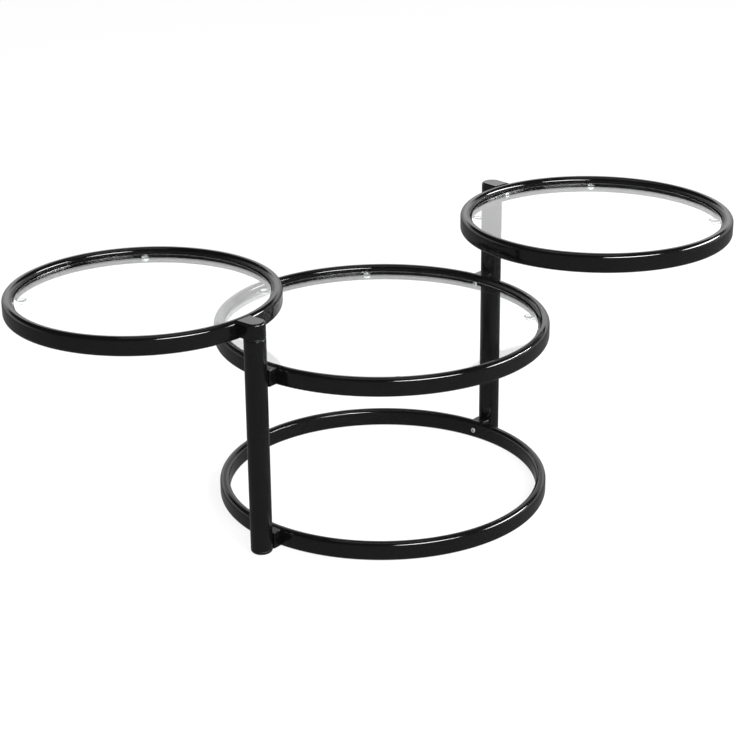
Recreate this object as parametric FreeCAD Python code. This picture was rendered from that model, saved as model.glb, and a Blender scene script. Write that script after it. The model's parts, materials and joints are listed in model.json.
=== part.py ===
import FreeCAD
import Part
import math
import os

# Swivel coffee table: two steel posts carry a fixed base ring and a fixed glass shelf.
# A smaller glass shelf turns about the top of each post. Millimetres, +Z up.
# The origin is the centre of the base ring on the floor. The front is towards -Y.

# Rings, bent from rounded rectangular steel tube
fixed_ring_radius = 250.0
swivel_ring_radius = 201.5
tube_height = 28.0
tube_width = 15.0
tube_wall = 1.5
tube_corner = 6.5

# Heights of the undersides of the rings that stand clear of the floor
middle_ring_bottom = 252.0
left_ring_bottom = 325.0
right_ring_bottom = 395.5

# Plan: the line through both posts, and where each swivel shelf is swung
post_line_angle = 51.0
left_swing_angle = 140.5
right_swing_angle = -48.5
fixed_ring_to_post = 27.0
swivel_ring_to_post = 18.0

# Posts and their feet
post_radius = 16.0
post_wall = 1.5
foot_flange = 6.0
foot_rounding = 5.0
foot_barrel = 14.0
foot_wall = 2.0

# Stub blocks between a post and a fixed ring, set in from the ring's top and underside
stub_width = 23.0
stub_length = 12.4
stub_rounding = 1.2
stub_inset = 1.5

# Swivel heads on the posts, which lap over the ring's rounding; their underside lies below the bolt's thread
head_height = 23.0
head_thread_wall = 3.7
head_lap = 2.5
head_rounding = 3.5
head_bore_depth = 18.0

# Spindle of a swivel shelf and its bushes in the post
spindle_radius = 8.0
spindle_tail = 3.5
spindle_chamfer = 1.0
bush_flange = 2.0
bush_flange_inset = 0.6
upper_bush_length = 22.0
bush_spacing = 24.0
lower_bush_length = 14.0
retainer_thickness = 1.2
retainer_radius = 11.0
retainer_mouth = 9.0
groove_depth = 1.0

# Socket button-head bolts that hold the rings
bolt_radius = 2.0
bolt_head_radius = 3.8
bolt_head_height = 2.2
bolt_head_rounding = 1.4
bolt_tip_room = 2.0
bolt_tip_wall = 2.0
bolt_head_room = 0.5
socket_across_flats = 3.0
socket_depth = 1.4

# Glass shelves
glass_thickness = 4.0
glass_recess = 8.5
glass_gap = 1.5
glass_edge = 1.0

# Clear pegs in the ring walls, with a suction pad on each
peg_count = 4
peg_radius = 2.5
peg_tail = 5.0
peg_collar_radius = 3.4
peg_collar = 1.5
tongue_width = 9.0
tongue_thickness = 3.0
pad_inset = 12.0
pad_radius = 8.0
pad_thickness = 2.2
pad_rim = 0.8
pad_hub_radius = 4.0
stem_radius = 2.0
knob_radius = 2.6
knob_height = 2.0

# Clearances
running_clearance = 0.05
push_fit = 0.05
seat_gap = 0.05
hole_clearance = 0.2
axial_play = 0.3
overrun = 5.0

# Worked out from the sizes above
post_bore = post_radius - post_wall
fixed_post_distance = fixed_ring_radius + fixed_ring_to_post
swivel_reach = swivel_ring_to_post + swivel_ring_radius
stub_bolt_grip = fixed_ring_to_post - post_radius - bolt_tip_room
head_bolt_grip = swivel_ring_to_post - spindle_radius - bolt_tip_wall - bolt_tip_room
glass_top = tube_height - glass_recess
glass_bottom = glass_top - glass_thickness
base_bolt_height = tube_height / 2
shelf_bolt_height = glass_bottom - bolt_head_room - bolt_head_radius
head_raise = shelf_bolt_height - bolt_radius - head_thread_wall
tongue_top = glass_bottom - pad_thickness
tongue_bottom = tongue_top - tongue_thickness
tongue_middle = (tongue_top + tongue_bottom) / 2
groove_radius = spindle_radius - groove_depth
upper_bush_bottom = -bush_flange - upper_bush_length
lower_bush_top = upper_bush_bottom - bush_spacing
lower_bush_bottom = lower_bush_top - lower_bush_length
groove_top = lower_bush_bottom - axial_play
spindle_bottom = groove_top - retainer_thickness - spindle_tail

origin = FreeCAD.Vector(0, 0, 0)
along_x = FreeCAD.Vector(1, 0, 0)
along_z = FreeCAD.Vector(0, 0, 1)


def cylinder(radius, bottom, top, x=0.0):
    """Upright cylinder on an axis at x."""
    return Part.makeCylinder(radius, top - bottom, FreeCAD.Vector(x, 0, bottom))


def rod(radius, start, end, height):
    """Cylinder along X at a height."""
    return Part.makeCylinder(radius, end - start, FreeCAD.Vector(start, 0, height), along_x)


def block(x0, x1, width, z0, z1):
    """Box centred on the X axis."""
    return Part.makeBox(x1 - x0, width, z1 - z0, FreeCAD.Vector(x0, -width / 2, z0))


def flat_edges(shape, height):
    """Edges of a shape that lie wholly at one height."""
    boxes = [(e, e.BoundBox) for e in shape.Edges]
    return [e for e, box in boxes if max(abs(box.ZMin - height), abs(box.ZMax - height)) < seat_gap]


def turned(points):
    """Solid turned about Z from an outline of radius and height pairs."""
    corners = [FreeCAD.Vector(r, 0, z) for r, z in points]
    return Part.Face(Part.makePolygon(corners + corners[:1])).revolve(origin, along_z, 360)


def corner_arc(x, z, radius, start):
    """Quarter arc of a section's corner, from a start angle."""
    turns = [math.radians(start + step) for step in (0, 45, 90)]
    ends = [FreeCAD.Vector(x + radius * math.cos(t), 0, z + radius * math.sin(t)) for t in turns]
    return Part.Arc(*ends).toShape()


def rounded_section(x0, x1, z0, z1, radius):
    """Upright rectangle with round corners, as a face in the XZ plane."""
    centres = ((x1 - radius, z1 - radius), (x0 + radius, z1 - radius),
               (x0 + radius, z0 + radius), (x1 - radius, z0 + radius))
    arcs = [corner_arc(x, z, radius, 90 * i) for i, (x, z) in enumerate(centres)]
    edges = []
    for arc, following in zip(arcs, arcs[1:] + arcs[:1]):
        edges += [arc, Part.makeLine(arc.lastVertex().Point, following.firstVertex().Point)]
    return Part.Face(Part.Wire(edges))


def ring_tube(radius):
    """Hollow ring about the origin, standing on height zero."""
    inner = radius - tube_width
    outside = rounded_section(inner, radius, 0, tube_height, tube_corner)
    cavity = rounded_section(inner + tube_wall, radius - tube_wall, tube_wall, tube_height - tube_wall,
                             tube_corner - tube_wall)
    return outside.revolve(origin, along_z, 360).cut(cavity.revolve(origin, along_z, 360))


def ring_form(radius):
    """Outside of a ring with the seat gap around it, standing on height zero."""
    section = rounded_section(radius - tube_width, radius + seat_gap, -seat_gap, tube_height + seat_gap,
                              tube_corner + seat_gap)
    return section.revolve(origin, along_z, 360)


def peg_angles():
    """Directions of the pegs, halfway between the posts and the open sides."""
    step = 360 / peg_count
    return [step * (i + 1 / 2) for i in range(peg_count)]


def around(shape, angles):
    """Copies of a shape turned about Z, as one group."""
    return Part.makeCompound([shape.rotated(origin, along_z, a) for a in angles])


def place(shape, centre, height, angle):
    """Shape turned about Z, then moved to a plan point and a height."""
    return shape.rotated(origin, along_z, angle).translated(FreeCAD.Vector(centre.x, centre.y, height))


def bolt_hole(radius, height):
    """Cut for a ring's bolt along +X, through both walls of the tube."""
    return rod(bolt_radius + hole_clearance, radius - tube_width - overrun, radius + overrun, height)


def peg_hole(radius):
    """Cut for a glass peg along +X, through the inner wall of the tube."""
    inner = radius - tube_width
    return rod(peg_radius + push_fit, inner - overrun, inner + tube_width / 2, tongue_middle)


def ring_with_holes(radius, bolt_angles, bolt_height, holes_for_glass):
    """Ring tube drilled for its bolts and for its glass pegs."""
    cuts = [around(bolt_hole(radius, bolt_height), bolt_angles)]
    if holes_for_glass:
        cuts.append(around(peg_hole(radius), peg_angles()))
    return ring_tube(radius).cut(cuts)


def bolt(radius, height, grip):
    """Button-head bolt along +X, its head seated on the inner wall of a ring."""
    inner = radius - tube_width
    seat = math.sqrt(inner ** 2 - bolt_head_radius ** 2)
    head = cylinder(bolt_head_radius, 0, bolt_head_height)
    head = head.makeFillet(bolt_head_rounding, flat_edges(head, bolt_head_height))
    corner = socket_across_flats / math.sqrt(3)
    hexagon = [FreeCAD.Rotation(along_z, 60 * i).multVec(along_x * corner) for i in range(6)]
    socket = Part.Face(Part.makePolygon(hexagon + hexagon[:1])).extrude(along_z * bolt_head_height)
    head = head.cut(socket.translated(along_z * (bolt_head_height - socket_depth)))
    shank = cylinder(bolt_radius, -tube_width - grip, 0)
    screw = head.fuse(shank).removeSplitter()
    screw = screw.rotated(origin, FreeCAD.Vector(0, 1, 0), -90)
    return screw.translated(FreeCAD.Vector(seat, 0, height))


def stub(bolt_height):
    """Block along +X from a fixed ring to its post, hollowed to fit both and tapped for the bolt."""
    end = fixed_ring_radius + stub_length
    start = fixed_ring_radius - tube_width / 2
    body = block(start, end, stub_width, stub_inset, tube_height - stub_inset)
    boxes = [(e, e.BoundBox) for e in body.Edges]
    long_edges = [e for e, box in boxes if box.XLength > stub_length]
    upright = [e for e, box in boxes if box.XMin > fixed_ring_radius and box.ZLength > stub_rounding]
    body = body.makeFillet(stub_rounding, long_edges + upright)
    post = cylinder(post_radius + seat_gap, -overrun, tube_height + overrun, fixed_post_distance)
    thread = rod(bolt_radius + push_fit, fixed_ring_radius - overrun, end + overrun, bolt_height)
    return body.cut([ring_form(fixed_ring_radius), post, thread])


def swivel_head():
    """U-shaped block over a post, running along +X to the swivel ring, on height zero."""
    wall = swivel_reach - swivel_ring_radius
    body = cylinder(post_radius, 0, head_height)
    body = body.fuse(block(0, wall + head_lap, 2 * post_radius, 0, head_height)).removeSplitter()
    rim = [e for e in flat_edges(body, head_height) if e.BoundBox.XMin < wall]
    body = body.makeFillet(head_rounding, rim)
    ring = ring_form(swivel_ring_radius).translated(FreeCAD.Vector(swivel_reach, 0, -head_raise))
    bore = cylinder(spindle_radius + push_fit, -overrun, head_bore_depth)
    thread_end = wall - head_bolt_grip - bolt_tip_room
    thread = rod(bolt_radius + push_fit, thread_end, wall + tube_width, shelf_bolt_height - head_raise)
    return body.cut([ring, bore, thread])


def spindle():
    """Pin of a swivel head, from its bore down through both bushes, with a groove for the retainer."""
    pin = cylinder(spindle_radius, spindle_bottom, head_bore_depth)
    pin = pin.makeChamfer(spindle_chamfer, flat_edges(pin, spindle_bottom))
    outside = cylinder(spindle_radius + overrun, groove_top - retainer_thickness, groove_top)
    return pin.cut(outside.cut(cylinder(groove_radius, spindle_bottom, groove_top)))


def retainer():
    """Open clip in the groove of a spindle."""
    bottom = groove_top - retainer_thickness
    disc = cylinder(retainer_radius, bottom, groove_top)
    mouth = block(0, retainer_radius + overrun, retainer_mouth, bottom - overrun, groove_top + overrun)
    bore = cylinder(groove_radius + running_clearance, bottom - overrun, groove_top + overrun)
    return disc.cut([bore, mouth])


def flanged_bush():
    """Bush in the mouth of a post, its flange showing under the swivel head."""
    inner = spindle_radius + running_clearance
    outer = post_bore - push_fit
    rim = post_radius - bush_flange_inset
    return turned([(inner, upper_bush_bottom), (outer, upper_bush_bottom), (outer, -bush_flange),
                   (rim, -bush_flange), (rim, 0), (inner, 0)])


def lower_bush():
    """Plain bush pushed further down the post."""
    outside = cylinder(post_bore - push_fit, lower_bush_bottom, lower_bush_top)
    return outside.cut(cylinder(spindle_radius + running_clearance, lower_bush_bottom - overrun,
                                lower_bush_top + overrun))


def post(head_bottom):
    """Tube from the foot's flange to the flange of the upper bush."""
    top = head_bottom - bush_flange
    tube = cylinder(post_radius, foot_flange, top)
    return tube.cut(cylinder(post_bore, foot_flange - overrun, top + overrun))


def foot():
    """Plug in the lower end of a post."""
    flange = cylinder(post_radius, 0, foot_flange)
    flange = flange.makeFillet(foot_rounding, flat_edges(flange, 0))
    outer = post_bore - push_fit
    barrel = cylinder(outer, foot_flange, foot_flange + foot_barrel)
    hollow = cylinder(outer - foot_wall, foot_flange, foot_flange + foot_barrel + overrun)
    return flange.fuse(barrel.cut(hollow)).removeSplitter()


def glass(radius):
    """Round pane with softened edges, recessed in a ring."""
    pane = cylinder(radius - tube_width - glass_gap, glass_bottom, glass_top)
    return pane.makeFillet(glass_edge, flat_edges(pane, glass_bottom) + flat_edges(pane, glass_top))


def peg(radius):
    """Clear peg along +X: a shank in the ring's wall, a collar against it and a tongue under the glass."""
    inner = radius - tube_width
    seat = math.sqrt(inner ** 2 - peg_collar_radius ** 2)
    centre = inner - pad_inset
    shank = rod(peg_radius, seat, inner + peg_tail, tongue_middle)
    collar = rod(peg_collar_radius, seat - peg_collar, seat, tongue_middle)
    tongue = block(centre, seat - peg_collar, tongue_width, tongue_bottom, tongue_top)
    eye = cylinder(tongue_width / 2, tongue_bottom, tongue_top, centre)
    hole = cylinder(stem_radius + push_fit, tongue_bottom - overrun, tongue_top + overrun, centre)
    return shank.fuse([collar, tongue, eye]).removeSplitter().cut(hole)


def pad(radius):
    """Clear suction pad under the glass, its stem through the eye of a peg at +X."""
    knob_top = tongue_bottom - seat_gap
    outline = [(0, glass_bottom), (pad_radius, glass_bottom), (pad_radius, glass_bottom - pad_rim),
               (pad_hub_radius, tongue_top), (stem_radius, tongue_top), (stem_radius, knob_top),
               (knob_radius, knob_top), (stem_radius, knob_top - knob_height), (0, knob_top - knob_height)]
    centre = radius - tube_width - pad_inset
    return turned(outline).translated(FreeCAD.Vector(centre, 0, 0))


def glass_set(radius):
    """Pane, pegs and pads of one glass shelf, about its centre."""
    return {"glass": glass(radius), "glass_pegs": around(peg(radius), peg_angles()),
            "suction_pads": around(pad(radius), peg_angles())}


def swivel_shelf():
    """Pieces of a swivel shelf, about its post's axis, with the ring out along +X on height zero."""
    to_post = [180]
    pieces = {"ring": ring_with_holes(swivel_ring_radius, to_post, shelf_bolt_height, True),
              "head_bolt": around(bolt(swivel_ring_radius, shelf_bolt_height, head_bolt_grip), to_post)}
    pieces.update(glass_set(swivel_ring_radius))
    pieces = {name: shape.translated(along_x * swivel_reach) for name, shape in pieces.items()}
    turning = {"swivel_head": swivel_head(), "spindle": spindle(), "retaining_clip": retainer()}
    pieces.update({name: shape.translated(along_z * head_raise) for name, shape in turning.items()})
    return pieces


def fixed_shelf():
    """Pieces of the middle shelf, about the table's centre, on height zero."""
    both = [0, 180]
    pieces = {"ring": ring_with_holes(fixed_ring_radius, both, shelf_bolt_height, True),
              "ring_bolts": around(bolt(fixed_ring_radius, shelf_bolt_height, stub_bolt_grip), both)}
    pieces.update(glass_set(fixed_ring_radius))
    return pieces


def table():
    """All pieces of the table by name."""
    centre = origin
    rear = FreeCAD.Rotation(along_z, post_line_angle).multVec(along_x * fixed_post_distance)
    front = rear * -1
    nodes = {}
    both = [0, 180]
    base = ring_with_holes(fixed_ring_radius, both, base_bolt_height, False)
    nodes["base_ring"] = place(base, centre, 0, post_line_angle)
    base_bolts = around(bolt(fixed_ring_radius, base_bolt_height, stub_bolt_grip), both)
    nodes["base_ring_bolts"] = place(base_bolts, centre, 0, post_line_angle)
    for name, shape in fixed_shelf().items():
        nodes["middle_" + name] = place(shape, centre, middle_ring_bottom, post_line_angle)
    sides = (("front", "left", front, left_ring_bottom, post_line_angle + 180, left_swing_angle),
             ("rear", "right", rear, right_ring_bottom, post_line_angle, right_swing_angle))
    for post_name, shelf_name, axis, ring_bottom, stub_angle, swing in sides:
        for level, height, bolt_height in (
                ("base", 0, base_bolt_height), ("middle", middle_ring_bottom, shelf_bolt_height)):
            nodes[post_name + "_" + level + "_stub"] = place(stub(bolt_height), centre, height, stub_angle)
        head_bottom = ring_bottom + head_raise
        nodes[post_name + "_post"] = place(post(head_bottom), axis, 0, 0)
        nodes[post_name + "_post_foot"] = place(foot(), axis, 0, 0)
        nodes[post_name + "_flanged_bush"] = place(flanged_bush(), axis, head_bottom, 0)
        nodes[post_name + "_lower_bush"] = place(lower_bush(), axis, head_bottom, 0)
        for name, shape in swivel_shelf().items():
            nodes[shelf_name + "_" + name] = place(shape, axis, ring_bottom, swing)
    return nodes


os.makedirs("parts", exist_ok=True)
for node, shape in table().items():
    shape.exportStep("parts/" + node + ".step")
    print(node, len(shape.Solids), round(shape.Volume), shape.isValid())
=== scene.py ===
import json
from math import asin, atan2, cos, pi, radians, sin, sqrt, tau

import bmesh
import bpy
from bpy.props import FloatProperty, FloatVectorProperty, IntProperty, PointerProperty
from mathutils import Matrix, Vector


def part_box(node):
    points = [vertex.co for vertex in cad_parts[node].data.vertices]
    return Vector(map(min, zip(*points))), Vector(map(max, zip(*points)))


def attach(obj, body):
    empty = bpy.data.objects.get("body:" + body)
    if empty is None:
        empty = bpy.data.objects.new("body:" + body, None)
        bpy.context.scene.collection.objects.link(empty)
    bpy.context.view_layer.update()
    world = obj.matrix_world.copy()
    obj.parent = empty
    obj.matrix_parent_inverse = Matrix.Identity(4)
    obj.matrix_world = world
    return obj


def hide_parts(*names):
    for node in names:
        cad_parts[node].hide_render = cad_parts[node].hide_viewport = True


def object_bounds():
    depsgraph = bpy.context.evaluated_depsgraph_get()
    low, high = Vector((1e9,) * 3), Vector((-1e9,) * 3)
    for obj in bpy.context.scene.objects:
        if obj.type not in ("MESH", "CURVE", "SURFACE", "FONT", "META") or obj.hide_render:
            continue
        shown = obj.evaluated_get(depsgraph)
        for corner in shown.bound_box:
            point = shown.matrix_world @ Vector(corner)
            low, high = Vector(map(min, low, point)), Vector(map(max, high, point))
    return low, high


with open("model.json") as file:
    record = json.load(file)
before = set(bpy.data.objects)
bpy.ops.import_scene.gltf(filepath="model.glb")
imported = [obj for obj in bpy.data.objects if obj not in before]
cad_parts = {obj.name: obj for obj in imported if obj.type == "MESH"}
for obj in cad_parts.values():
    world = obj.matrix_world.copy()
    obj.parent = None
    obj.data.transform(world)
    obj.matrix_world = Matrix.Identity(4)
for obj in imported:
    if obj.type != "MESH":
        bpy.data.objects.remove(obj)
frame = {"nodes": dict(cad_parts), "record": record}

# Swivel coffee table: gloss black ring frame on two posts, three round glass shelves, two of which turn.
# Metres, +Z up. Places and main sizes come from the frame; small finish sizes are in the property groups.

bl_info = {
    "name": "Swivel coffee table",
    "version": (1, 0, 0),
    "blender": (4, 5, 0),
    "location": "View3D > Sidebar > Table",
    "description": "Builds the rings, posts, swivel heads, glass and fittings of a swivel coffee table",
    "category": "Add Mesh",
}

CAD_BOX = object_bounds()
SHELVES = ("middle", "left", "right")
SWIVELS = (("left", "front"), ("right", "rear"))
POSTS = ("front", "rear")
LEVELS = ("base", "middle")
UP = Vector((0, 0, 1))
MERGE_DISTANCE = 1e-6
SHANK_STEPS, TONGUE_STEPS, PAD_STEPS = 24, 16, 48
SOCKET_CUTS = 3
SENSOR_WIDTH_MM = 36
# Share of a pad's hollow that is left over the edge of its hub
HOLLOW_AT_HUB = 0.8
# Thick pegs are a little milky: how much of the light goes through
PEG_CLEARNESS = 0.8
# Noise values lie mostly between these
NOISE_LOW, NOISE_HIGH = 0.35, 0.65
# How far forward or back a direction points where the backdrop gives way to the room behind the camera
BACKDROP_SIDE = 0.3
# Each light's name, outline, width and height, and place; its power is the studio setting of that name
LIGHTS = (("backdrop", "RECTANGLE", (6.0, 0.9), (0.0, 4.0, 1.95)),
          ("key", "ELLIPSE", (2.4, 0.5), (2.6, 0.4, 1.65)),
          ("front", "ELLIPSE", (2.2, 0.5), (1.3, -2.1, 1.85)),
          ("top", "RECTANGLE", (1.6, 1.6), (0.0, 0.3, 2.8)))


def span(node):
    """Size of a node along each axis."""
    low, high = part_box(node)
    return high - low


def centre(node):
    """Middle of a node's box."""
    low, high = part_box(node)
    return (low + high) / 2


def levels(node):
    """Heights of a node's underside and top."""
    low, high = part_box(node)
    return low.z, high.z


def plan_angle(start, end):
    """Direction in plan from one point to another."""
    return atan2(end.y - start.y, end.x - start.x)


def linear(code):
    """Linear colour of an sRGB hex value."""
    channels = [int(code[i:i + 2], 16) / 255 for i in (1, 3, 5)]
    return [c / 12.92 if c <= 0.04045 else ((c + 0.055) / 1.055) ** 2.4 for c in channels]


def length(name, description, default):
    """Length property in metres."""
    return FloatProperty(name=name, description=description, default=default, unit="LENGTH",
                         subtype="DISTANCE", precision=5)


def facets(name, description, default):
    """Number of flat steps round a curve."""
    return IntProperty(name=name, description=description, default=default, min=3)


def light_level(name, description, default):
    """Brightness as a share of white."""
    return FloatProperty(name=name, description=description, default=default, min=0, max=1, subtype="FACTOR")


def light_power(name, description, default):
    """Power of a light in watts."""
    return FloatProperty(name=name, description=description, default=default, min=0, subtype="POWER")


def colour(name, description, code):
    """Colour property from an sRGB hex value."""
    return FloatVectorProperty(name=name, description=description, default=linear(code), subtype="COLOR",
                               size=3, min=0, max=1)


class TableSizes(bpy.types.PropertyGroup):
    """Sizes of the table's pieces that the frame doesn't give."""
    tube_width: length("Tube width", "Width of the ring tube, across the ring's wall", 0.015)
    tube_corner: length("Tube corner", "Corner radius of the ring tube", 0.0065)
    ring_steps: facets("Ring steps", "Facets round a ring", 384)
    tube_steps: facets("Tube steps", "Facets round a corner of the ring tube", 12)
    corner_steps: facets("Corner steps", "Facets round a small rounding", 8)
    post_wall: length("Post wall", "Wall thickness of the post tube", 0.0015)
    post_edge: length("Post edge", "Rounding of the post's cut ends", 0.0008)
    post_steps: facets("Post steps", "Facets round a post", 96)
    foot_flange: length("Foot flange", "Height of the foot below the post's end", 0.006)
    foot_rounding: length("Foot rounding", "Rounding of the foot's lower edge", 0.005)
    foot_wall: length("Foot wall", "Wall thickness of the foot's barrel", 0.002)
    stub_width: length("Stub width", "Width of the block between a post and a fixed ring", 0.023)
    stub_length: length("Stub length", "How far the block stands out from the ring", 0.0124)
    stub_rounding: length("Stub rounding", "Rounding of the block's edges", 0.0012)
    head_rounding: length("Head rounding", "Rounding of a swivel head's upper edge", 0.0035)
    head_lap: length("Head lap", "How far a swivel head laps over the rounding of its ring", 0.0025)
    head_edge: length("Head edge", "Rounding of a swivel head's lower edge", 0.0004)
    head_steps: facets("Head steps", "Facets round a swivel head", 40)
    bush_flange: length("Bush flange", "Thickness of the flange under a swivel head", 0.002)
    bush_edge: length("Bush edge", "Rounding of the flange's edges", 0.0007)
    bush_bore: length("Bush bore", "Radius of the hole through the bush", 0.00805)
    glass_edge: length("Glass edge", "Rounding of a pane's polished edge", 0.001)
    bolt_head: length("Bolt head", "Radius of a button head", 0.0038)
    bolt_head_height: length("Bolt head height", "Height of a button head", 0.0022)
    bolt_rounding: length("Bolt rounding", "Rounding of a button head", 0.0014)
    bolt_radius: length("Bolt radius", "Outer radius of a bolt's thread", 0.002)
    stub_bolt: length("Stub bolt", "Length under its head of a bolt into a stub block", 0.024)
    head_bolt: length("Head bolt", "Length under its head of a bolt into a swivel head", 0.021)
    socket_flats: length("Socket", "Hexagon socket across its flats", 0.003)
    socket_depth: length("Socket depth", "Depth of the hexagon socket", 0.0014)
    peg_radius: length("Peg radius", "Radius of a peg's shank", 0.0025)
    peg_tail: length("Peg tail", "How far a peg's shank goes past the ring's inner face", 0.005)
    collar_radius: length("Collar radius", "Radius of the peg's collar", 0.0034)
    collar: length("Collar", "Thickness of the peg's collar", 0.0015)
    tongue_width: length("Tongue width", "Width of the peg's tongue", 0.009)
    tongue: length("Tongue", "Thickness of the peg's tongue", 0.003)
    pad_inset: length("Pad inset", "Distance of a pad's axis from the ring's inner face", 0.012)
    pad_radius: length("Pad radius", "Radius of a suction pad", 0.008)
    pad_thickness: length("Pad thickness", "Thickness of a suction pad at its hub", 0.0022)
    pad_rim: length("Pad rim", "Thickness of a suction pad's rim", 0.0008)
    pad_lip: length("Pad lip", "Width of a suction pad's lip", 0.0012)
    lip_rounding: length("Lip rounding", "Rounding of the lip's edges", 0.00035)
    pad_hollow: length("Pad hollow", "Depth of the hollow of a suction pad", 0.0006)
    pad_hub: length("Pad hub", "Radius of a suction pad's hub", 0.004)
    stem: length("Stem", "Radius of a pad's stem", 0.002)
    knob: length("Knob", "Radius of the knob under a stem", 0.0026)
    knob_height: length("Knob height", "Height of the knob under a stem", 0.002)


class TableColours(bpy.types.PropertyGroup):
    """Colours of the table's finishes."""
    powder_coat: colour("Powder coat", "Gloss black of the steel", "#060606")
    powder_coat_worn: colour("Powder coat, paler", "Paler clouds in the black", "#0b0b0c")
    glass: colour("Glass", "What the panes let through", "#fdfefe")
    glass_edge: colour("Glass edge", "Light that has gone a long way through a pane", "#a9c4bd")
    soft_plastic: colour("Soft plastic", "Clear pads and pegs", "#fafbfb")
    # Grey of the pad lips is painted shade: it stands in for the dark outline that a clear rim shows by
    # bending and mirroring light
    lip: colour("Pad lips", "Thicker, smoky lips of the pads", "#8f9597")
    nylon: colour("Nylon", "Bushes", "#101011")
    polyethylene: colour("Polyethylene", "Feet", "#0d0d0e")
    zinc: colour("Zinc", "Bolts and spindles", "#d6d8db")
    zinc_dull: colour("Zinc, dull", "Duller patches of the plating", "#b6b8bb")


class StudioSettings(bpy.types.PropertyGroup):
    """Floor, light and camera."""
    floor_size: length("Floor", "Width of the floor", 24.0)
    floor: colour("Floor colour", "Pale studio floor", "#f7f7f7")
    floor_mirrored: light_level("Floor, mirrored", "Level of the floor in reflections", 0.2)
    floor_shade: light_level("Floor shade", "How much of its shading the floor shows", 0.14)
    ambient: light_level("Ambient", "Level of the light from all sides", 0.76)
    ceiling: light_level("Ceiling", "Level of the dark ceiling in reflections", 0.04)
    backdrop: light_level("Backdrop", "Level of the backdrop in reflections", 0.8)
    room: light_level("Room", "Level of the room behind the camera in reflections", 0.16)
    backdrop_top: FloatProperty(name="Backdrop top", default=radians(22), subtype="ANGLE",
                                description="Height angle of the white backdrop's upper edge")
    backdrop_fade: FloatProperty(name="Backdrop fade", description="Width of the backdrop's soft edge",
                                 default=radians(4), subtype="ANGLE")
    backdrop_power: light_power("Backdrop light", "Power of the light in front of the backdrop", 10)
    key_power: light_power("Key light", "Power of the light at the right", 105)
    front_power: light_power("Front light", "Power of the light in front, at the right", 110)
    top_power: light_power("Top light", "Power of the light above", 5)
    focal_length: FloatProperty(name="Focal length", description="Focal length of the camera, in mm",
                                default=93.1358)
    camera_place: FloatVectorProperty(name="Camera place", description="Where the camera stands",
                                      default=(0.00585, -2.66490, 1.26076), subtype="TRANSLATION")
    camera_turn: FloatVectorProperty(name="Camera turn", description="Tilt, roll and heading of the camera",
                                     default=[radians(turn) for turn in (68.24375, 0.55427, 0.35634)],
                                     subtype="EULER")


def add_piece(name, bm, material, body, replaced=()):
    """Makes an object of a bmesh, dresses it and lets it ride on a body in place of CAD nodes."""
    mesh = bpy.data.meshes.new(name)
    bm.to_mesh(mesh)
    bm.free()
    mesh.materials.append(material)
    piece = bpy.data.objects.new(name, mesh)
    bpy.context.scene.collection.objects.link(piece)
    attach(piece, body)
    if replaced:
        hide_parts(*replaced)
    return piece


def even_shading(piece):
    """Lets the flat faces beside small roundings shade flat."""
    modifier = piece.modifiers.new("Even shading", "WEIGHTED_NORMAL")
    modifier.weight = 100
    return piece


def close_up(bm):
    """Merges doubled points, points all faces outwards and shades them smooth."""
    bmesh.ops.remove_doubles(bm, verts=bm.verts[:], dist=MERGE_DISTANCE)
    bmesh.ops.recalc_face_normals(bm, faces=bm.faces[:])
    for face in bm.faces:
        face.smooth = True


def move(bm, matrix, vertices=None):
    """Moves a bmesh, or some of its points, by a matrix."""
    bmesh.ops.transform(bm, matrix=matrix, verts=vertices or bm.verts[:])


def set_at(angle, place):
    """Matrix that turns a shape about Z and moves it to a place."""
    return Matrix.Translation(place) @ Matrix.Rotation(angle, 4, "Z")


def turned(outline, steps, corner_steps):
    """Shell turned about Z from corners of radius, height and rounding."""
    bm = bmesh.new()
    corners = [bm.verts.new((radius, 0, height)) for radius, height, _ in outline]
    bm.faces.new(corners)
    for corner, (_, _, rounding) in zip(corners, outline):
        if rounding:
            bmesh.ops.bevel(bm, geom=[corner], affect="VERTICES", offset=rounding, offset_type="OFFSET",
                            segments=corner_steps, profile=0.5, material=-1)
    bmesh.ops.delete(bm, geom=bm.faces[:], context="FACES_ONLY")
    on_axis = [e for e in bm.edges if all(abs(v.co.x) < MERGE_DISTANCE for v in e.verts)]
    bmesh.ops.delete(bm, geom=on_axis, context="EDGES")
    bmesh.ops.spin(bm, geom=bm.verts[:] + bm.edges[:], cent=(0, 0, 0), axis=UP, angle=tau, steps=steps,
                   use_merge=True)
    close_up(bm)
    return bm


def plan_wire(bm, start, moves, arc_steps):
    """Closed wire in plan: each move is a point to go to, or a centre and an angle to turn by."""
    first = tip = bm.verts.new((*start, 0))
    for move_to in moves:
        if isinstance(move_to[0], tuple):
            arc_centre, angle = move_to
            arc = bmesh.ops.spin(bm, geom=[tip], cent=(*arc_centre, 0), axis=UP, angle=angle, steps=arc_steps)
            tip = next(part for part in arc["geom_last"] if isinstance(part, bmesh.types.BMVert))
        else:
            following = bm.verts.new((*move_to, 0))
            bm.edges.new((tip, following))
            tip = following
    if (tip.co - first.co).length > MERGE_DISTANCE:
        bm.edges.new((tip, first))
    bmesh.ops.remove_doubles(bm, verts=bm.verts[:], dist=MERGE_DISTANCE)


def raise_plan(bm, bottom, top):
    """Fills the wires of a plan and raises the flat face to a block."""
    bmesh.ops.triangle_fill(bm, edges=bm.edges[:], use_beauty=True, use_dissolve=True)
    raised = bmesh.ops.extrude_face_region(bm, geom=bm.faces[:])
    lifted = [part for part in raised["geom"] if isinstance(part, bmesh.types.BMVert)]
    move(bm, Matrix.Translation(UP * (top - bottom)), lifted)
    move(bm, Matrix.Translation(UP * bottom))
    close_up(bm)


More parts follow.
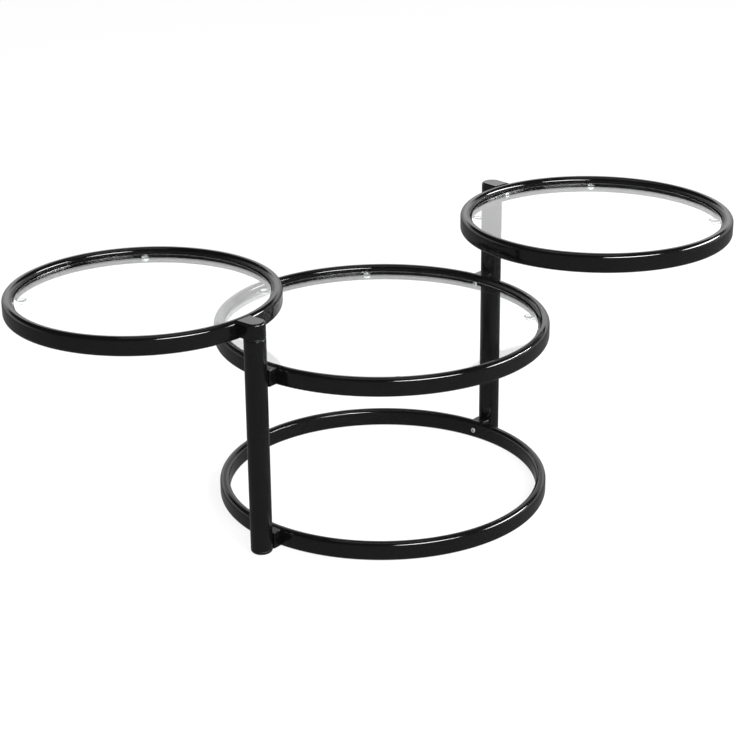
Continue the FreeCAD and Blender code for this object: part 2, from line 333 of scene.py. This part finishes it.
def stacked(outlines, arc_steps):
    """Block through plan outlines of height, start and moves, closed at both ends."""
    bm = bmesh.new()
    loops = []
    for height, start, moves in outlines:
        below = set(bm.edges)
        plan_wire(bm, start, moves, arc_steps)
        loop = [edge for edge in bm.edges if edge not in below]
        move(bm, Matrix.Translation(UP * height), list({vertex for edge in loop for vertex in edge.verts}))
        loops.append(loop)
    for lower, upper in zip(loops, loops[1:]):
        bmesh.ops.bridge_loops(bm, edges=lower + upper)
    for loop in (loops[0], loops[-1]):
        bmesh.ops.contextual_create(bm, geom=loop)
    close_up(bm)
    return bm


def side_levels(bottom, top, lower, upper, sizes, tube_height):
    """Heights and insets up the side of a block on a ring: its two edge roundings, and the tube's between."""
    turns = [pi / 2 * step / sizes.corner_steps for step in range(sizes.corner_steps + 1)]
    rise = [(bottom + lower * (1 - cos(t)), lower * (1 - sin(t))) for t in turns]
    fall = [(top - upper * (1 - cos(t)), upper * (1 - sin(t))) for t in reversed(turns)]
    bends = [sizes.tube_corner * step / sizes.corner_steps for step in range(sizes.corner_steps + 1)]
    plain = bends + [tube_height - bend for bend in reversed(bends)]
    return rise + [(level, 0) for level in plain if bottom + lower < level < top - upper] + fall


def tube_rounding(level, sizes, tube_height):
    """How far the ring's outer wall has gone in at a height above its underside."""
    corner = sizes.tube_corner
    past = min(max(corner - level, level - tube_height + corner, 0), corner)
    return corner - sqrt(corner ** 2 - past ** 2)


def joined(parts):
    """One bmesh of several, which are freed."""
    whole = bmesh.new()
    for part in parts:
        mesh = bpy.data.meshes.new("part")
        part.to_mesh(mesh)
        part.free()
        whole.from_mesh(mesh)
        bpy.data.meshes.remove(mesh)
    return whole


def around(make, angles, place):
    """Copies of a shape turned about an upright axis at a place."""
    copies = []
    for angle in angles:
        copy = make()
        move(copy, set_at(angle, place))
        copies.append(copy)
    return joined(copies)


def node(tree, kind, inputs=None, **settings):
    """Adds a node with its settings; inputs are values or other nodes' outputs by socket name."""
    made = tree.nodes.new("ShaderNode" + kind)
    for name, value in settings.items():
        setattr(made, name, value)
    for name, value in (inputs or {}).items():
        if isinstance(value, bpy.types.NodeSocket):
            tree.links.new(value, made.inputs[name])
        else:
            made.inputs[name].default_value = value
    return made


def new_material(name):
    """Empty node material."""
    material = bpy.data.materials.new(name)
    material.use_nodes = True
    material.node_tree.nodes.clear()
    return material


def opaque(colour_value):
    """Colour with full alpha for a shader socket."""
    return (*colour_value, 1)


def noise(tree, size, detail=2.0):
    """Noise on the object's own metres, with features of about a size."""
    place = node(tree, "TexCoord").outputs["Object"]
    return node(tree, "TexNoise", {"Vector": place, "Scale": 1 / size, "Detail": detail}).outputs["Fac"]


def spread(tree, value, low, high):
    """Noise value stretched to run between two levels."""
    return node(tree, "MapRange", {"Value": value, "From Min": NOISE_LOW, "From Max": NOISE_HIGH,
                                   "To Min": low, "To Max": high}).outputs["Result"]


def shaded(material, inputs):
    """Principled surface on a material's output."""
    tree = material.node_tree
    surface = node(tree, "BsdfPrincipled", inputs)
    node(tree, "OutputMaterial", {"Surface": surface.outputs["BSDF"]})
    return material


def gloss_black_powder_coat(colours):
    """Baked powder coat: deep black with a wet gloss, and the faint orange peel of powder that has flowed."""
    material = new_material("gloss_black_powder_coat")
    tree = material.node_tree
    cloud_size, gloss_size, peel_size = 0.06, 0.03, 0.004
    clouds = node(tree, "Mix", {"Factor": noise(tree, cloud_size), "A": opaque(colours.powder_coat),
                                "B": opaque(colours.powder_coat_worn)}, data_type="RGBA")
    # The peel is a few tenths of a millimetre wide on the real coat; 4 mm is what shows here
    peel = node(tree, "Bump", {"Height": noise(tree, peel_size, 1.0), "Strength": 0.005, "Distance": 0.0001})
    return shaded(material, {"Base Color": clouds.outputs["Result"], "IOR": 1.5,
                             "Roughness": spread(tree, noise(tree, gloss_size), 0.06, 0.1),
                             "Normal": peel.outputs["Normal"]})


def lamps_through(material, inputs, tint):
    """Clear surface on a material's output that casts no shade of its own."""
    tree = material.node_tree
    surface = node(tree, "BsdfPrincipled", inputs)
    passing = node(tree, "BsdfTransparent", {"Color": tint})
    rays = node(tree, "LightPath")
    mixed = node(tree, "MixShader", {0: rays.outputs["Is Shadow Ray"], 1: surface.outputs["BSDF"],
                                     2: passing.outputs["BSDF"]})
    return node(tree, "OutputMaterial", {"Surface": mixed.outputs["Shader"]})


def clear_float_glass(colours):
    """Polished float glass: clear face on, mirror-bright at a low angle, green only along its edge."""
    material = new_material("clear_float_glass")
    tree = material.node_tree
    tint = opaque(colours.glass)
    output = lamps_through(material, {"Base Color": tint, "Roughness": 0.0, "IOR": 1.52,
                                      "Transmission Weight": 1.0}, tint)
    depth = node(tree, "VolumeAbsorption", {"Color": opaque(colours.glass_edge), "Density": 2.0})
    tree.links.new(depth.outputs["Volume"], output.inputs["Volume"])
    return material


def clear_soft_vinyl(name, tone, clearness=1.0):
    """Moulded soft vinyl: clear, or milky where it is thick, with a soft shine."""
    material = new_material(name)
    tree = material.node_tree
    tint = opaque(tone)
    cloud_size = 0.003
    # The IOR is below vinyl's own 1.53, so that pads on the glass show as little more than outlines
    lamps_through(material, {"Base Color": tint, "IOR": 1.35, "Transmission Weight": clearness,
                             "Roughness": spread(tree, noise(tree, cloud_size), 0.0, 0.04)}, tint)
    return material


def moulded_plastic(name, tone, roughness, grain):
    """Moulded black plastic: even colour with the fine grain of its mould."""
    material = new_material(name)
    tree = material.node_tree
    unevenness = 0.05
    bump = node(tree, "Bump", {"Height": noise(tree, grain), "Strength": 0.15, "Distance": 0.0001})
    return shaded(material, {"Base Color": opaque(tone), "Normal": bump.outputs["Normal"],
                             "Roughness": spread(tree, noise(tree, 4 * grain), roughness - unevenness,
                                                 roughness + unevenness)})


def bright_zinc_plate(colours):
    """Bright zinc on steel: pale grey metal with a soft shine and duller patches."""
    material = new_material("bright_zinc_plate")
    tree = material.node_tree
    patch_size, sheen_size = 0.004, 0.002
    patches = node(tree, "Mix", {"Factor": noise(tree, patch_size), "A": opaque(colours.zinc),
                                 "B": opaque(colours.zinc_dull)}, data_type="RGBA")
    return shaded(material, {"Base Color": patches.outputs["Result"], "Metallic": 0.7,
                             "Roughness": spread(tree, noise(tree, sheen_size), 0.34, 0.44)})


def finish_for(slot):
    """Material of a record slot, made the first time that it is asked for."""
    colours = bpy.context.scene.table_colours
    makers = {"gloss_black_steel": ("gloss_black_powder_coat", lambda name: gloss_black_powder_coat(colours)),
              "clear_glass": ("clear_float_glass", lambda name: clear_float_glass(colours)),
              "clear_plastic": ("clear_soft_vinyl",
                                lambda name: clear_soft_vinyl(name, colours.soft_plastic)),
              "black_nylon": ("moulded_nylon",
                              lambda name: moulded_plastic(name, colours.nylon, roughness=0.28,
                                                           grain=0.0015)),
              "black_foot_plastic": ("moulded_polyethylene",
                                     lambda name: moulded_plastic(name, colours.polyethylene, roughness=0.34,
                                                                  grain=0.002)),
              "zinc_steel": ("bright_zinc_plate", lambda name: bright_zinc_plate(colours))}
    name, make = makers[slot]
    return bpy.data.materials.get(name) or make(name)


def dressed(name, bm, slot, body):
    """Piece that takes the place of the CAD node of its name."""
    return add_piece(name, bm, finish_for(slot), body, (name,))


def shelf_body(shelf):
    """Body that carries a shelf."""
    return "frame" if shelf == "middle" else shelf + "_shelf"


def ring_radius(ring):
    """Outer radius of a ring."""
    return span(ring).x / 2


def post_axis(post):
    """Plan place of a post's axis."""
    place = centre(post + "_post")
    place.z = 0
    return place


def shelf_angle(shelf):
    """Plan direction from a shelf's post to its centre."""
    if shelf == "middle":
        return plan_angle(post_axis("front"), post_axis("rear"))
    return plan_angle(post_axis(dict(SWIVELS)[shelf]), centre(shelf + "_ring"))


def corner_angles(shelf):
    """Directions of a shelf's four pegs, halfway between its post line and its open sides."""
    return [shelf_angle(shelf) + tau * (quarter + 1 / 2) / 4 for quarter in range(4)]


def ring_place(ring):
    """Plan place of a ring's centre, at its underside's height."""
    place = centre(ring)
    place.z = levels(ring)[0]
    return place


class TABLE_OT_rings(bpy.types.Operator):
    """Four rings bent from rounded rectangular tube"""
    bl_idname = "table.rings"
    bl_label = "Rings"

    def execute(self, context):
        sizes = context.scene.table_sizes
        for ring in ("base_ring", "middle_ring", "left_ring", "right_ring"):
            body = shelf_body(ring.removesuffix("_ring")) if ring != "base_ring" else "frame"
            outer, top, corner = ring_radius(ring), span(ring).z, sizes.tube_corner
            inner = outer - sizes.tube_width
            outline = [(inner, 0, corner), (outer, 0, corner), (outer, top, corner), (inner, top, corner)]
            tube = turned(outline, sizes.ring_steps, sizes.tube_steps)
            move(tube, Matrix.Translation(ring_place(ring)))
            dressed(ring, tube, "gloss_black_steel", body)
        return {"FINISHED"}


class TABLE_OT_posts(bpy.types.Operator):
    """Two post tubes with a plug foot in the lower end of each"""
    bl_idname = "table.posts"
    bl_label = "Posts and feet"

    def execute(self, context):
        sizes = context.scene.table_sizes
        for post in POSTS:
            tube_node, foot_node = post + "_post", post + "_post_foot"
            bottom, top = levels(tube_node)
            radius = span(tube_node).x / 2
            bore, edge = radius - sizes.post_wall, sizes.post_edge
            outline = [(bore, bottom, 0), (radius, bottom, edge), (radius, top, edge), (bore, top, 0)]
            tube = turned(outline, sizes.post_steps, sizes.corner_steps)
            move(tube, Matrix.Translation(post_axis(post)))
            even_shading(dressed(tube_node, tube, "gloss_black_steel", "frame"))
            low, high = levels(foot_node)
            step = low + sizes.foot_flange
            inner = bore - sizes.foot_wall
            outline = [(0, low, 0), (radius, low, sizes.foot_rounding), (radius, step, edge), (bore, step, 0),
                       (bore, high, edge), (inner, high, edge), (inner, step, 0), (0, step, 0)]
            foot = turned(outline, sizes.post_steps, sizes.corner_steps)
            move(foot, Matrix.Translation(post_axis(post)))
            even_shading(dressed(foot_node, foot, "black_foot_plastic", "frame"))
        return {"FINISHED"}


class TABLE_OT_stubs(bpy.types.Operator):
    """Four blocks between the posts and the fixed rings, hollowed to both"""
    bl_idname = "table.stubs"
    bl_label = "Stub blocks"

    def execute(self, context):
        sizes = context.scene.table_sizes
        for level in LEVELS:
            ring = level + "_ring"
            for post in POSTS:
                name = post + "_" + level + "_stub"
                block = self.block(sizes, name, ring, post)
                place = ring_place(ring)
                move(block, set_at(plan_angle(place, post_axis(post)), place))
                even_shading(dressed(name, block, "gloss_black_steel", "frame"))
        return {"FINISHED"}

    def block(self, sizes, name, ring, post):
        """Block along +X from the ring's wall to the post, above the height of the ring's underside."""
        underside = levels(ring)[0]
        bottom, top = (height - underside for height in levels(name))
        edge = sizes.stub_rounding
        end = ring_radius(ring) + sizes.stub_length
        axis = (post_axis(post) - ring_place(ring)).xy.length
        post_radius = span(post + "_post").x / 2
        grip = sqrt(post_radius ** 2 - (axis - end) ** 2)
        outlines = []
        for level, inset in side_levels(bottom, top, edge, edge, sizes, span(ring).z):
            half = sizes.stub_width / 2 - inset
            wall_radius = ring_radius(ring) - tube_rounding(level, sizes, span(ring).z)
            wall = sqrt(wall_radius ** 2 - half ** 2)
            corner = end - edge, half - edge
            outlines.append((level, (wall, -half), [
                (corner[0], -half), ((corner[0], -corner[1]), pi / 2), (end, -grip),
                ((axis, 0), -2 * asin(grip / post_radius)), (end, corner[1]), (corner, pi / 2), (wall, half),
                ((0, 0), -2 * asin(half / wall_radius))]))
        return stacked(outlines, sizes.corner_steps)


class TABLE_OT_swivel_heads(bpy.types.Operator):
    """Two swivel heads, each with its flanged bush in the mouth of the post"""
    bl_idname = "table.swivel_heads"
    bl_label = "Swivel heads and bushes"

    def execute(self, context):
        sizes = context.scene.table_sizes
        for shelf, post in SWIVELS:
            head = self.head(sizes, shelf, post)
            place = post_axis(post) + UP * levels(shelf + "_ring")[0]
            move(head, set_at(shelf_angle(shelf), place))
            even_shading(dressed(shelf + "_swivel_head", head, "gloss_black_steel", shelf + "_shelf"))
            bush = self.bush(sizes, post)
            move(bush, Matrix.Translation(post_axis(post)))
            even_shading(dressed(post + "_flanged_bush", bush, "black_nylon", "frame"))
        return {"FINISHED"}

    def head(self, sizes, shelf, post):
        """U-shaped block over the post, along +X to the ring, above the height of the ring's underside."""
        ring = shelf + "_ring"
        underside, tube_height = levels(ring)[0], span(ring).z
        bottom, top = (height - underside for height in levels(shelf + "_swivel_head"))
        reach = (centre(ring) - post_axis(post)).xy.length
        outlines = []
        for level, inset in side_levels(bottom, top, sizes.head_edge, sizes.head_rounding, sizes,
                                        tube_height):
            half = span(post + "_post").x / 2 - inset
            wall_radius = ring_radius(ring) - min(tube_rounding(level, sizes, tube_height), sizes.head_lap)
            wall = reach - sqrt(wall_radius ** 2 - half ** 2)
            outlines.append((level, (wall, half), [(0, half), ((0, 0), pi), (wall, -half),
                                                   ((reach, 0), -2 * asin(half / wall_radius))]))
        return stacked(outlines, sizes.head_steps)

    def bush(self, sizes, post):
        """Flanged bush turned about the post's axis."""
        name = post + "_flanged_bush"
        bottom, top = levels(name)
        rim = span(name).x / 2
        barrel = span(post + "_post").x / 2 - sizes.post_wall
        step = top - sizes.bush_flange
        outline = [(sizes.bush_bore, bottom, 0), (barrel, bottom, 0), (barrel, step, 0),
                   (rim, step, sizes.bush_edge), (rim, top, sizes.bush_edge), (sizes.bush_bore, top, 0)]
        return turned(outline, sizes.post_steps, sizes.corner_steps)


class TABLE_OT_glass(bpy.types.Operator):
    """Three round panes with polished edges"""
    bl_idname = "table.glass"
    bl_label = "Glass panes"

    def execute(self, context):
        sizes = context.scene.table_sizes
        for shelf in SHELVES:
            name = shelf + "_glass"
            bottom, top = levels(name)
            radius = span(name).x / 2
            outline = [(0, bottom, 0), (radius, bottom, sizes.glass_edge), (radius, top, sizes.glass_edge),
                       (0, top, 0)]
            pane = turned(outline, sizes.ring_steps, sizes.corner_steps)
            place = centre(name)
            place.z = 0
            move(pane, Matrix.Translation(place))
            even_shading(dressed(name, pane, "clear_glass", shelf_body(shelf)))
        return {"FINISHED"}


class TABLE_OT_glass_fittings(bpy.types.Operator):
    """Four clear pegs in each glass ring, and the suction pad that each one holds under the pane"""
    bl_idname = "table.glass_fittings"
    bl_label = "Pegs and suction pads"

    def execute(self, context):
        sizes = context.scene.table_sizes
        colours = context.scene.table_colours
        # The lips' grey tint is painted shade, for the dark outline round each clear pad's rim
        shade_painted = clear_soft_vinyl("smoky_soft_vinyl", colours.lip)
        milky = clear_soft_vinyl("milky_soft_vinyl", colours.soft_plastic, PEG_CLEARNESS)
        for shelf in SHELVES:
            body = shelf_body(shelf)
            inner = ring_radius(shelf + "_ring") - sizes.tube_width
            place = centre(shelf + "_glass")
            place.z = levels(shelf + "_glass")[0]
            angles = corner_angles(shelf)
            pegs = around(lambda: self.peg(sizes, inner), angles, place)
            name = shelf + "_glass_pegs"
            add_piece(name, pegs, milky, body, (name,))
            pads = around(lambda: self.pad(sizes, inner), angles, place)
            dressed(shelf + "_suction_pads", pads, "clear_plastic", body)
            lips = around(lambda: self.lip(sizes, inner), angles, place)
            add_piece(shelf + "_pad_lips", lips, shade_painted, body)
        return {"FINISHED"}

    def peg(self, sizes, inner):
        """Peg along +X: shank and collar in the ring's wall, tongue with an eye; the pane is at zero."""
        seat = sqrt(inner ** 2 - sizes.collar_radius ** 2)
        eye = inner - sizes.pad_inset
        top = -sizes.pad_thickness
        shank_end = inner + sizes.peg_tail - seat
        collar = sizes.collar_radius
        outline = [(0, -sizes.collar, 0), (collar, -sizes.collar, 0), (collar, 0, 0),
                   (sizes.peg_radius, 0, 0), (sizes.peg_radius, shank_end, 0), (0, shank_end, 0)]
        shank = turned(outline, SHANK_STEPS, 1)
        move(shank, Matrix.Translation((seat, 0, top - sizes.tongue / 2)) @ Matrix.Rotation(pi / 2, 4, "Y"))
        tongue = bmesh.new()
        half = sizes.tongue_width / 2
        root = seat - sizes.collar
        plan_wire(tongue, (root, half), [(eye, half), ((eye, 0), pi), (root, -half)], TONGUE_STEPS)
        hole = bmesh.ops.create_circle(tongue, segments=SHANK_STEPS, radius=sizes.stem)
        move(tongue, Matrix.Translation((eye, 0, 0)), hole["verts"])
        raise_plan(tongue, top - sizes.tongue, top)
        for face in tongue.faces:
            face.smooth = False
        return joined([shank, tongue])

    def pad(self, sizes, inner):
        """Hollow suction pad under the pane, its stem through the eye of a peg at +X."""
        hub_bottom = -sizes.pad_thickness
        knob_top = hub_bottom - sizes.tongue
        knob_bottom = knob_top - sizes.knob_height
        edge = sizes.pad_radius - sizes.pad_lip
        outline = [(0, -sizes.pad_hollow, 0), (sizes.pad_hub, -sizes.pad_hollow * HOLLOW_AT_HUB, 0),
                   (edge, 0, 0), (edge, -sizes.pad_rim, 0), (sizes.pad_hub, hub_bottom, 0),
                   (sizes.stem, hub_bottom, 0), (sizes.stem, knob_top, 0), (sizes.knob, knob_top, 0),
                   (sizes.stem, knob_bottom, 0), (0, knob_bottom, 0)]
        pad = turned(outline, PAD_STEPS, 1)
        move(pad, Matrix.Translation((inner - sizes.pad_inset, 0, 0)))
        return pad

    def lip(self, sizes, inner):
        """Lip round the suction pad of a peg at +X."""
        outer, rounding = sizes.pad_radius, sizes.lip_rounding
        edge = outer - sizes.pad_lip
        outline = [(edge, -sizes.pad_rim, rounding), (outer, -sizes.pad_rim, rounding), (outer, 0, rounding),
                   (edge, 0, rounding)]
        lip = turned(outline, PAD_STEPS, sizes.corner_steps)
        move(lip, Matrix.Translation((inner - sizes.pad_inset, 0, 0)))
        return lip


class TABLE_OT_bolts(bpy.types.Operator):
    """Socket button-head bolts on the inner walls of the rings"""
    bl_idname = "table.bolts"
    bl_label = "Bolts"

    def execute(self, context):
        sizes = context.scene.table_sizes
        angle = shelf_angle("middle")
        for name, ring, body, under_head, angles in (
                ("base_ring_bolts", "base_ring", "frame", sizes.stub_bolt, (angle, angle + pi)),
                ("middle_ring_bolts", "middle_ring", "frame", sizes.stub_bolt, (angle, angle + pi)),
                ("left_head_bolt", "left_ring", "left_shelf", sizes.head_bolt, (shelf_angle("left") + pi,)),
                ("right_head_bolt", "right_ring", "right_shelf", sizes.head_bolt,
                 (shelf_angle("right") + pi,))):
            place = ring_place(ring)
            place.z = centre(name).z
            seat = sqrt((ring_radius(ring) - sizes.tube_width) ** 2 - sizes.bolt_head ** 2)
            bolts = around(lambda: self.bolt(sizes, seat, under_head), angles, place)
            piece = even_shading(dressed(name, bolts, "zinc_steel", body))
            # Black coat of the frame in the sockets: painted shade in the recess of each socket
            piece.data.materials.append(finish_for("gloss_black_steel"))
        return {"FINISHED"}

    def bolt(self, sizes, seat, under_head):
        """Bolt along +X with its head's seat at a distance from the origin."""
        bm = bmesh.new()
        corner = sizes.socket_flats / sqrt(3)
        top = sizes.bolt_head_height
        floor = bmesh.ops.create_circle(bm, cap_ends=True, segments=6, radius=corner)
        move(bm, Matrix.Translation(UP * (top - sizes.socket_depth)), floor["verts"])
        rim = self.extruded(bm, bm.edges[:], lambda v: Vector((v.co.x, v.co.y, top)))
        bmesh.ops.subdivide_edges(bm, edges=rim, cuts=SOCKET_CUTS)
        rim = [e for e in bm.edges if e.is_boundary]
        turns = [pi / 2 * step / sizes.corner_steps for step in range(sizes.corner_steps + 1)]
        rounding = sizes.bolt_rounding
        flat = sizes.bolt_head - rounding
        profile = [(flat + rounding * sin(t), top - rounding * (1 - cos(t))) for t in turns]
        profile += [(sizes.bolt_head, 0), (sizes.bolt_radius, 0), (sizes.bolt_radius, -under_head)]
        for radius, height in profile:
            rim = self.extruded(bm, rim, lambda v: v.co.xy.normalized().to_3d() * radius + UP * height)
        bmesh.ops.contextual_create(bm, geom=rim)
        close_up(bm)
        # Faces in the socket take the black coat, as painted shade in the recess
        for face in bm.faces:
            painted_socket_shade = all(v.co.xy.length < corner + MERGE_DISTANCE for v in face.verts)
            face.material_index = 1 if painted_socket_shade else 0
        move(bm, Matrix.Translation((seat, 0, 0)) @ Matrix.Rotation(-pi / 2, 4, "Y"))
        return bm

    def extruded(self, bm, edges, place):
        """Extrudes a loop of edges and puts its points where a rule says."""
        made = bmesh.ops.extrude_edge_only(bm, edges=edges)["geom"]
        for vertex in (part for part in made if isinstance(part, bmesh.types.BMVert)):
            vertex.co = place(vertex)
        return [part for part in made if isinstance(part, bmesh.types.BMEdge)]


class TABLE_OT_inner_fittings(bpy.types.Operator):
    """Finishes on the spindles, clips and lower bushes inside the posts"""
    bl_idname = "table.inner_fittings"
    bl_label = "Inner fittings"

    def execute(self, context):
        slots = {part["node"]: part["material_slot"] for part in frame["record"]["subparts"]}
        inner = [shelf + part for shelf, _ in SWIVELS for part in ("_spindle", "_retaining_clip")]
        inner += [post + "_lower_bush" for post in POSTS]
        for name in inner:
            materials = frame["nodes"][name].data.materials
            materials.clear()
            materials.append(finish_for(slots[name]))
        return {"FINISHED"}


class TABLE_OT_studio(bpy.types.Operator):
    """Pale floor, white surroundings, soft lights and the camera"""
    bl_idname = "table.studio"
    bl_label = "Studio"

    def execute(self, context):
        scene = context.scene
        studio = scene.table_studio
        scene.view_settings.view_transform = "Standard"
        self.floor(studio)
        scene.world = self.surroundings(studio)
        for name, shape, size, place in LIGHTS:
            self.light(name + "_light", getattr(studio, name + "_power"), shape, size, place)
        self.camera(scene, studio)
        return {"FINISHED"}

    def floor(self, studio):
        """Floor that shows white with a little of its own shading."""
        bm = bmesh.new()
        bmesh.ops.create_grid(bm, x_segments=1, y_segments=1, size=studio.floor_size / 2)
        mesh = bpy.data.meshes.new("studio_floor")
        bm.to_mesh(mesh)
        bm.free()
        material = new_material("pale_studio_floor")
        tree = material.node_tree
        rays = node(tree, "LightPath")
        white = node(tree, "Emission")
        lit = node(tree, "BsdfDiffuse", {"Color": opaque(studio.floor)})
        dim = node(tree, "Emission", {"Strength": studio.floor_mirrored})
        shown = node(tree, "Math", {0: rays.outputs["Is Camera Ray"], 1: rays.outputs["Is Transmission Ray"]},
                     operation="ADD", use_clamp=True)
        share = node(tree, "Math", {0: shown.outputs[0], 1: 1 - studio.floor_shade}, operation="MULTIPLY")
        plain = node(tree, "MixShader", {0: share.outputs[0], 1: lit.outputs["BSDF"],
                                         2: white.outputs["Emission"]})
        surface = node(tree, "MixShader", {0: self.mirrored(tree, rays), 1: plain.outputs["Shader"],
                                           2: dim.outputs["Emission"]})
        node(tree, "OutputMaterial", {"Surface": surface.outputs["Shader"]})
        material.cycles.emission_sampling = "NONE"
        mesh.materials.append(material)
        floor = bpy.data.objects.new("studio_floor", mesh)
        bpy.context.scene.collection.objects.link(floor)

    def mirrored(self, tree, rays):
        """One for rays that have met a glossy surface, also behind glass; else nought."""
        return node(tree, "Math", {0: rays.outputs["Glossy Depth"], 1: 1.0}, operation="MINIMUM").outputs[0]

    def surroundings(self, studio):
        """White to the camera; in reflections a white backdrop under a dark ceiling."""
        world = bpy.data.worlds.new("studio_surroundings")
        world.use_nodes = True
        tree = world.node_tree
        tree.nodes.clear()
        rays = node(tree, "LightPath")
        direction = node(tree, "SeparateXYZ", {"Vector": node(tree, "TexCoord").outputs["Generated"]})
        edge, fade = studio.backdrop_top, studio.backdrop_fade / 2
        behind = node(tree, "MapRange", {"Value": direction.outputs["Y"], "From Min": -BACKDROP_SIDE,
                                         "From Max": BACKDROP_SIDE,
                                         "To Min": studio.room, "To Max": studio.backdrop})
        above = node(tree, "MapRange", {"Value": direction.outputs["Z"], "From Min": sin(edge - fade),
                                        "From Max": sin(edge + fade)}, interpolation_type="SMOOTHSTEP")
        reflection = node(tree, "Mix", {"Factor": above.outputs["Result"], "A": behind.outputs["Result"],
                                        "B": studio.ceiling})
        seen = node(tree, "Math", {0: rays.outputs["Is Camera Ray"], 1: rays.outputs["Is Transmission Ray"]},
                    operation="ADD", use_clamp=True)
        plain = node(tree, "Mix", {"Factor": seen.outputs[0], "A": studio.ambient, "B": 1.0})
        level = node(tree, "Mix", {"Factor": self.mirrored(tree, rays), "A": plain.outputs["Result"],
                                   "B": reflection.outputs["Result"]})
        ground = node(tree, "Background", {"Color": opaque((1, 1, 1)), "Strength": level.outputs["Result"]})
        node(tree, "OutputWorld", {"Surface": ground.outputs["Background"]})
        return world

    def light(self, name, power, shape, size, place):
        """Soft light of a width and height that faces the table."""
        lamp = bpy.data.lights.new(name, "AREA")
        lamp.energy = power
        lamp.shape = shape
        lamp.size, lamp.size_y = size
        light = bpy.data.objects.new(name, lamp)
        light.location = place
        towards = sum(CAD_BOX, Vector()) / 2 - light.location
        light.rotation_euler = towards.to_track_quat("-Z", "Y").to_euler()
        bpy.context.scene.collection.objects.link(light)

    def camera(self, scene, studio):
        """Camera of the photograph's view."""
        lens = bpy.data.cameras.new("camera")
        lens.sensor_width = SENSOR_WIDTH_MM
        lens.lens = studio.focal_length
        camera = bpy.data.objects.new("camera", lens)
        camera.location = studio.camera_place
        camera.rotation_euler = studio.camera_turn
        scene.collection.objects.link(camera)
        scene.camera = camera


OPERATORS = (TABLE_OT_rings, TABLE_OT_posts, TABLE_OT_stubs, TABLE_OT_swivel_heads, TABLE_OT_glass,
             TABLE_OT_glass_fittings, TABLE_OT_bolts, TABLE_OT_inner_fittings, TABLE_OT_studio)


class TABLE_PT_sidebar(bpy.types.Panel):
    """Lists the steps that build the table"""
    bl_idname = "TABLE_PT_sidebar"
    bl_label = "Swivel coffee table"
    bl_space_type = "VIEW_3D"
    bl_region_type = "UI"
    bl_category = "Table"

    def draw(self, context):
        for operator in OPERATORS:
            self.layout.operator(operator.bl_idname)


GROUPS = (("table_sizes", TableSizes), ("table_colours", TableColours), ("table_studio", StudioSettings))


def register():
    for name, group in GROUPS:
        bpy.utils.register_class(group)
        setattr(bpy.types.Scene, name, PointerProperty(type=group))
    for made in (*OPERATORS, TABLE_PT_sidebar):
        bpy.utils.register_class(made)


def unregister():
    for made in (TABLE_PT_sidebar, *reversed(OPERATORS)):
        bpy.utils.unregister_class(made)
    for name, group in reversed(GROUPS):
        delattr(bpy.types.Scene, name)
        bpy.utils.unregister_class(group)


def main():
    register()
    for operator in OPERATORS:
        group, name = operator.bl_idname.split(".")
        getattr(getattr(bpy.ops, group), name)()


if __name__ == "__main__":
    main()
